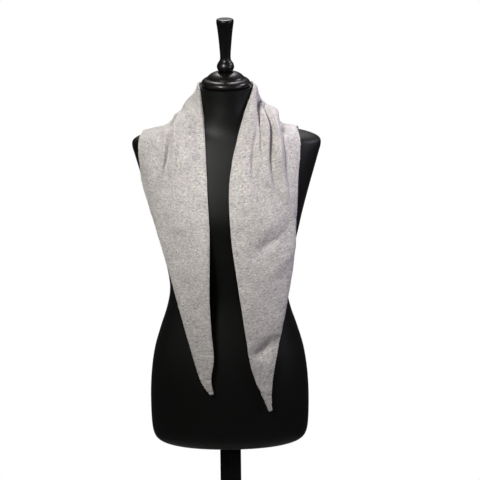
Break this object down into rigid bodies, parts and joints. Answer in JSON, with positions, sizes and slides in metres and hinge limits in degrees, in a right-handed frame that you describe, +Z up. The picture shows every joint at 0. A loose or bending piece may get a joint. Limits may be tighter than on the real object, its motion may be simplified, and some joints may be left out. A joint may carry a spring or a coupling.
{
  "type": "knitted triangle scarf on a dress form",
  "caption": "Triangle scarf of soft grey knit, hung round the neck of a limbless black dress form with its tails down the front and its apex on the back.",
  "frame": {"origin": "centre of the base's flat underside, on the floor", "axes": "+Z up along the post, +X to the right as the front is looked at, -Y out of the chest towards the viewer"},
  "size_m": [0.38, 0.38, 1.4801],
  "materials": {
    "wool_knit": "matte",
    "black_jersey": "matte",
    "lacquered_wood": "gloss",
    "painted_steel": "satin"
  },
  "bodies": {
    "root": {"base": "painted_steel", "post": "painted_steel", "torso": "black_jersey", "neck_cap": "lacquered_wood", "finial": "lacquered_wood", "scarf_left_tail": "wool_knit", "scarf_neck_back": "wool_knit", "scarf_right_tail": "wool_knit"}
  },
  "joints": []
}
